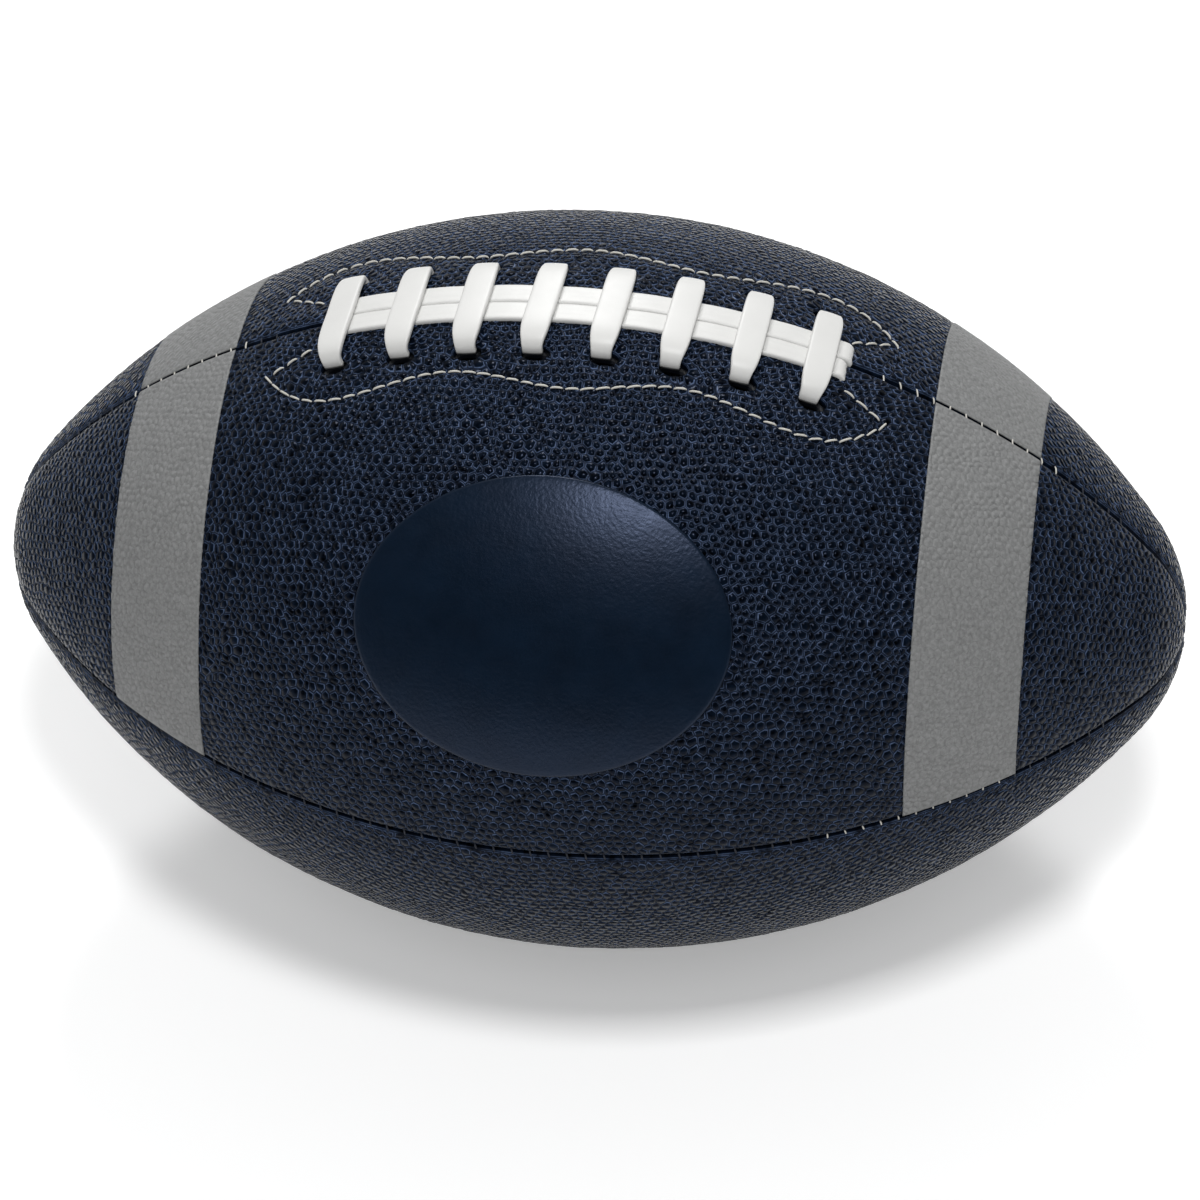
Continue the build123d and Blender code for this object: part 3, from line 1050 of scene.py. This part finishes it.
@dataclass
class Lacing:
    """White lace: straps across the seam and two strips that run along it.

    A strap bends over a knee, given as a shift out from its foot and a height over the skin, and a shoulder,
    given as a distance from the seam and a height over the crest. The uneven slant and rise are the most
    that a strap is off by.
    """

    skin: Skin
    count: int = 8
    pitch: float = 15.5
    thickness: float = 1.45
    edge: float = 0.5
    strap_width: float = 6.6
    strap_crown: float = 0.12
    crest: float = 2.35
    knee: tuple[float, float] = (1.0, 2.6)
    shoulder: tuple[float, float] = (9.0, 0.25)
    foot_offset: float = 12.9
    foot_depth: float = 2.0
    foot_taper: float = 0.28
    slant: float = 0.06
    uneven_slant: float = 0.01
    uneven_rise: float = 0.06
    strip_width: float = 5.5
    strip_crown: float = 0.05
    strip_offset: float = 2.9
    strip_lift: float = 0.78
    strip_depth: float = 3.6
    strip_ends: tuple[float, float] = (-57.2, 60.6)
    strip_stagger: float = 0.5
    strip_bend: float = 2.0
    strip_press: float = 0.07
    groove_depth: float = 0.05
    groove_place: float = 1.1
    groove_width: float = 0.35

    def section(self, bm: BMesh, width: float, crown: float, groove: float) -> list[BMVert]:
        """Make the rounded section of the lace with its start face, and note it in the section layer.

        Args:
            bm: Mesh that gets the section.
            width: Width of the section.
            crown: Height that the middle of the section's top is raised by.
            groove: Depth of the two fine lines along its top.

        Returns:
            Corners of the section.
        """
        shape = section_layer(bm)
        corners = bmesh.ops.create_grid(bm, x_segments=1, y_segments=1, size=0.5)["verts"]
        bmesh.ops.scale(bm, vec=Vector((width, self.thickness, 1.0)), verts=corners)
        made = bmesh.ops.bevel(
            bm, geom=corners, affect="VERTICES", offset=self.edge, segments=4, profile=0.5, material=-1
        )
        face = made["verts"][0].link_faces[0]
        flats = [e for e in face.edges if e.calc_length() > 2 * self.edge]
        bmesh.ops.bisect_edges(bm, edges=flats, cuts=11)
        for vert in face.verts:
            x, y, _ = vert.co
            if y > 0:
                y += crown * (1 - (2 * x / width) ** 2)
                for line in (-self.groove_place, self.groove_place):
                    y -= groove * math.exp(-(((x - line) / self.groove_width) ** 2))
            vert[shape] = (x, y, 0.0)
        return list(face.verts)

    def arcs(self) -> list[float]:
        """Places of the straps along the seam."""
        return [self.skin.arc_at(self.pitch * (i - (self.count - 1) / 2)) for i in range(self.count)]

    def strap(self, bm: BMesh, arc: float, slant: float, rise: float) -> None:
        """Make a strap that comes out of one eyelet, over the strips and down into the other.

        Args:
            bm: Mesh that gets the strap.
            arc: Place along the seam.
            slant: Shift along the seam for each millimetre across it.
            rise: Extra height of its middle.
        """
        lean = self.skin.station(arc)[2]
        along = Vector((math.cos(lean), 0.0, -math.sin(lean)))
        origin, out = self.skin.point(arc, 0.0), self.skin.normal(arc, 0.0)
        foot = Vector((self.foot_offset, -self.foot_depth, 0.0))
        knee = Vector((self.foot_offset + self.knee[0], self.knee[1], 0.0))
        shoulder = Vector((self.shoulder[0], self.crest + rise + self.shoulder[1], 0.0))
        top = Vector((0.0, self.crest + rise, 0.0))
        half = geometry.interpolate_bezier(foot, knee, shoulder, top, 22)
        path = half + [Vector((-p.x, p.y, 0.0)) for p in reversed(half[:-1])]
        points = [origin + Vector((0, 1, 0)) * p.x + out * p.y + along * (slant * p.x) for p in path]
        frames = []
        for spot, point, way in zip(path, points, directions(points)):
            side = (along - way * along.dot(way)).normalized()
            pinch = 1 - self.foot_taper * (abs(spot.x) / self.foot_offset) ** 6
            frames.append((point, side * pinch, side.cross(way) * -1))
        sweep(bm, self.section(bm, self.strap_width, self.strap_crown, 0.0), frames)

    def strip(self, bm: BMesh, hand: int) -> None:
        """Make one of the two strips along the seam, with both ends turned down into the slit.

        Args:
            bm: Mesh that gets the strip.
            hand: Sign of the side of the seam that it lies on.
        """
        start, end = (self.skin.arc_at(x) for x in self.strip_ends)
        end += self.strip_stagger * hand
        bend, steps = self.strip_bend, 90
        turns = [math.radians(15 * i) for i in range(1, 7)]
        bends = [(bend * (1 - math.sin(t)), self.strip_lift - bend * (1 - math.cos(t))) for t in turns]
        route = [(start, -self.strip_depth)] + [(start + run, lift) for run, lift in reversed(bends)]
        for step in range(steps + 1):
            arc = start + bend + (end - start - 2 * bend) * step / steps
            press = 1 + math.cos(2 * math.pi * (self.skin.station(arc)[0] / self.pitch + 0.5))
            route.append((arc, self.strip_lift - self.strip_press * press))
        route += [(end - run, lift) for run, lift in bends] + [(end, -self.strip_depth)]
        points = [self.skin.point(arc, 0.0, lift) for arc, lift in route]
        side = Vector((0, 1, 0))
        shift = side * (hand * self.strip_offset)
        frames = [(point + shift, side, way.cross(side)) for point, way in zip(points, directions(points))]
        sweep(bm, self.section(bm, self.strip_width, self.strip_crown, self.groove_depth), frames)

    def build(self) -> BMesh:
        """Make the whole lace in millimetres."""
        bm = bmesh.new()
        chance = random.Random(8)
        for arc in self.arcs():
            slant = self.slant + chance.uniform(-self.uneven_slant, self.uneven_slant)
            self.strap(bm, arc, slant, chance.uniform(-self.uneven_rise, self.uneven_rise))
        for hand in (-1, 1):
            self.strip(bm, hand)
        return bm


@dataclass
class Studio:
    """Pale floor, soft lights and the camera at the photograph's angle.

    The view was measured in half lengths of the ball: the unit is one of them, the scale its length in the
    image's pixels, and distance and shift place the camera. Tilt, roll and turn are in degrees, and the
    floor's sizes are in metres.
    """

    floor_height: float
    tilt: float = 45.8
    roll: float = 4.62
    turn: float = -7.35
    distance: float = 7.94
    scale: float = 589.2
    shift: tuple[float, float] = (-0.0112, 0.0357)
    unit: float = 140.0
    image_width: int = 1200
    sensor_width: float = 36.0
    floor_half: float = 12.0
    floor_glow: float = 0.3
    wall_light: float = 0.5
    dark_light: float = 0.03

    @cached_property
    def view(self) -> Matrix:
        """Turn from the camera's right, forward and up to the ball's frame."""
        angles = [math.radians(a) for a in (self.tilt, self.roll, self.turn)]
        return Euler(angles, "XYZ").to_matrix().transposed()

    def camera(self) -> None:
        """Set up the camera."""
        right, forward, up = (self.view @ Vector(axis) for axis in ((1, 0, 0), (0, 1, 0), (0, 0, 1)))
        data = bpy.data.cameras.new("photo_camera")
        data.sensor_width = self.sensor_width
        data.lens = self.sensor_width * self.scale * self.distance / self.image_width
        data.clip_end = 50.0
        camera = bpy.data.objects.new("photo_camera", data)
        camera.matrix_world = Matrix((right, up, -forward)).transposed().to_4x4()
        place = Vector((-self.shift[0], -self.distance, -self.shift[1]))
        camera.location = self.view @ place * (self.unit * MM)
        bpy.context.scene.collection.objects.link(camera)
        bpy.context.scene.camera = camera

    def floor(self) -> None:
        """Lay a white paper floor under the ball, with a glow that only the camera and reflections see."""
        bm = bmesh.new()
        bmesh.ops.create_grid(bm, x_segments=2, y_segments=2, size=self.floor_half)
        bmesh.ops.translate(bm, vec=Vector((0, 0, self.floor_height)), verts=bm.verts[:])
        paper = bpy.data.materials.new("white_seamless_paper")
        tree = empty_tree(paper)
        matt = add_node(tree, "ShaderNodeBsdfDiffuse", {"Color": linear("#f7f7f7")})
        glow = add_node(tree, "ShaderNodeEmission", {"Color": linear("#ffffff"), "Strength": self.floor_glow})
        both = add_node(tree, "ShaderNodeAddShader", links={0: matt.outputs[0], 1: glow.outputs[0]})
        path = add_node(tree, "ShaderNodeLightPath")
        seen = path.outputs["Is Camera Ray"]
        for kind in ("Is Glossy Ray", "Is Transmission Ray"):
            links = {0: seen, 1: path.outputs[kind]}
            seen = add_node(tree, "ShaderNodeMath", {"operation": "MAXIMUM"}, links).outputs[0]
        mix = add_node(tree, "ShaderNodeMixShader", links={0: seen, 1: matt.outputs[0], 2: both.outputs[0]})
        add_node(tree, "ShaderNodeOutputMaterial", links={"Surface": mix.outputs[0]})
        show("paper_floor", bm, paper)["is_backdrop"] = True

    def lamp(
        self, name: str, place: tuple[float, ...], size: float, power: float, is_polarised: bool = False
    ) -> None:
        """Hang a square softbox that faces the ball.

        Args:
            name: Name of the lamp.
            place: Where it hangs, in metres.
            size: Length of its sides in metres.
            power: Its power in watts.
            is_polarised: Whether its light is filtered so that it leaves no reflections.
        """
        data = bpy.data.lights.new(name, "AREA")
        data.shape = "SQUARE"
        data.size = size
        data.energy = power
        lamp = bpy.data.objects.new(name, data)
        lamp.location = place
        lamp.visible_glossy = not is_polarised
        lamp.rotation_euler = (-Vector(place)).to_track_quat("-Z", "Y").to_euler()
        bpy.context.scene.collection.objects.link(lamp)

    def world(self) -> None:
        """Light the surroundings: pale all round, but dark where the photographer stands."""
        world = bpy.data.worlds.new("studio_walls")
        tree = empty_tree(world)
        way = add_node(tree, "ShaderNodeTexCoord").outputs["Generated"]
        near = add_node(tree, "ShaderNodeVectorMath", {"operation": "DOT_PRODUCT"}, {0: way})
        near.inputs[1].default_value = self.view @ Vector((0, -1, 0))
        limits = {"From Min": 0.15, "From Max": 0.75, "To Min": self.wall_light, "To Max": self.dark_light}
        ramp = add_node(tree, "ShaderNodeMapRange", limits, {"Value": near.outputs["Value"]})
        links = {"Strength": ramp.outputs["Result"]}
        light = add_node(tree, "ShaderNodeBackground", {"Color": linear("#ffffff")}, links)
        add_node(tree, "ShaderNodeOutputWorld", links={"Surface": light.outputs[0]})
        bpy.context.scene.world = world

    def build(self) -> None:
        """Set up the whole studio."""
        self.camera()
        self.floor()
        self.world()
        self.lamp("key_softbox", (0.18, -0.46, 1.36), size=0.26, power=10.7)
        self.lamp("front_softbox", (0.05, -1.1, 1.2), size=0.9, power=6.0, is_polarised=True)
        self.lamp("back_softbox", (-0.2, 1.0, 1.1), size=0.35, power=9.0)
        bpy.context.scene.view_settings.view_transform = "Standard"


@dataclass
class Football:
    """The dressed ball, built round its packed construction."""

    nodes: dict[str, bpy.types.Object]
    skin: Skin
    stripe_inner: float = 80.5
    stripe_outer: float = 104.5
    stripe_floor: float = 0.24
    stripe_thickness: float = 0.3
    pebble_floor: float = -0.28
    panel_thickness: float = 2.0
    panel_tip: float = 0.8
    eyelet_offset: float = 14.2
    eyelet_half_length: float = 3.5
    eyelet_half_width: float = 2.2
    valve_hole: float = 4.1
    valve_rim: float = 0.05
    valve_angle: float = math.radians(135.0)

    @cached_property
    def lacing(self) -> Lacing:
        """The lace, whose straps the eyelets follow."""
        return Lacing(self.skin)

    def eyelets(self, side: Side) -> list[Hole]:
        """Holes for the lace on one side of the seam."""
        holes = []
        for arc in self.lacing.arcs():
            angle = side.value * math.asin(self.eyelet_offset / self.skin.station(arc)[1])
            holes.append(Hole(arc, angle, self.eyelet_half_length, self.eyelet_half_width))
        return holes

    def films(self, side: Side, level: Level) -> list[Film]:
        """Prints and patch that lie over one panel."""
        if level is Level.LOWER:
            return []
        inner, outer = self.skin.arc_at(self.stripe_inner), self.skin.arc_at(self.stripe_outer)
        middle, half = (inner + outer) / 2, (outer - inner) / 2
        films = [Film(hand * middle, 0.0, half, self.skin.girth_radius) for hand in (-1, 1)]
        if side is Side.FRONT:
            patch = SmoothPatch(self.skin)
            films.append(Film(0.0, patch.angle, patch.half_length, patch.half_height, False))
        return films

    def panel(self, side: Side, level: Level, line: StitchLine | None) -> None:
        """Make one cover panel.

        Args:
            side: Side of the ball.
            level: Half of the ball.
            line: Stitching of the facing behind it, if it has one.
        """
        holes = []
        if level is Level.UPPER:
            holes = self.eyelets(side)
        elif side is Side.BACK:
            holes = [Hole(0.0, self.valve_angle, self.valve_hole, self.valve_hole, self.valve_rim)]
        lip = Lip()
        end = self.skin.arc_of_radius((self.panel_tip + lip.width) / HALF_PANEL)
        name = f"panel_{level.name.lower()}_{side.name.lower()}"
        panel = Panel(
            self.skin, side.value * level.value * HALF_PANEL, -end, end, self.pebble_floor,
            self.panel_thickness, lip=lip, holes=holes, films=self.films(side, level), rolls_at_tips=True,
            seed=len(name), facing_line=line.tree() if line else None,
        )
        make_piece(f"{name}_pebbled", panel.build(), PEBBLED_LEATHER, name)

    def stripe(self, side: Side, hand: int) -> None:
        """Make one printed stripe.

        Args:
            side: Side of the ball.
            hand: Sign of the end of the ball.
        """
        start, end = sorted(self.skin.arc_at(hand * x) for x in (self.stripe_inner, self.stripe_outer))
        stripe = Cover(
            self.skin, side.value * HALF_PANEL, start, end, self.stripe_floor, self.stripe_thickness,
            Grain(height=0.2, unevenness=0.12), Lip(steps=((0.6, -0.06), (0.34, -0.24))), seed=3 + hand,
        )
        name = f"stripe_{'right' if hand > 0 else 'left'}_{side.name.lower()}"
        make_piece(f"{name}_print", stripe.build(), STRIPE_PAINT, name)

    def stitches(self, lines: dict[str, StitchLine]) -> None:
        """Make all the sewing; the white thread of a seam shows only where the seam gapes a little, and
        elsewhere it is painted navy as painted shade in the seam.
        """
        for name, line in lines.items():
            if name.startswith("facing"):
                make_piece(f"{name}_stitches", line.build(FACING_SEWING, lambda x: True), SEWING_THREAD, name)
                continue
            start, end, stretch = GAPES.get(name, (0.0, 0.0, 0.0))
            if end:
                bm = line.build(replace(WHITE_SEWING, stretch=stretch), lambda x: start < x < end)
                make_piece(f"{name}_white_stitches", bm, SEWING_THREAD, name)
            # Stitches sunk in the seam get navy as painted shade
            bm = line.build(SUNK_SEWING, lambda x: not start < x < end)
            make_piece(f"{name}_sunk_stitches", bm, SEAM_THREAD_IN_PAINTED_SHADE, name)

    def insides(self) -> None:
        """Dress the pieces of the construction that stay as they are."""
        finishes = {"lining": LINING_CLOTH_PAINTED_SHADE, "lace_facing": FACING_CLOTH, "lace_tongue": FACING_CLOTH}
        finishes |= {"bladder": BLADDER_RUBBER, "valve": VALVE_RUBBER}
        for name, node in self.nodes.items():
            for start, finish in finishes.items():
                if name.startswith(start):
                    node.data.materials.clear()
                    node.data.materials.append(finish.material())
                    log.info("%s: dressed in %s", name, finish.name)

    def build(self) -> None:
        """Make every piece in order."""
        threads = [n for n in self.nodes if "thread" in n]
        lines = {name: StitchLine(self.nodes[name], self.skin) for name in sorted(threads)}
        for side in Side:
            self.panel(side, Level.UPPER, lines[f"facing_thread_{side.name.lower()}"])
            self.panel(side, Level.LOWER, None)
            for hand in (-1, 1):
                self.stripe(side, hand)
        make_piece("smooth_patch_oval", SmoothPatch(self.skin).build(), SMOOTH_LEATHER, "smooth_patch")
        make_piece("lace_straps", self.lacing.build(), LACE_VINYL, "lace")
        self.stitches(lines)
        self.insides()


def main() -> None:
    """Build the ball and the studio from the sizes of the construction."""
    logging.basicConfig(level=logging.INFO, format="%(name)s: %(message)s")
    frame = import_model()
    cad_box = [list(corner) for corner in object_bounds()]
    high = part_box("panel_upper_back")[1]
    skin = Skin(high.x / MM, high.z / MM)
    Football(frame["nodes"], skin).build()
    Studio(cad_box[0][2]).build()


if __name__ == "__main__":
    main()
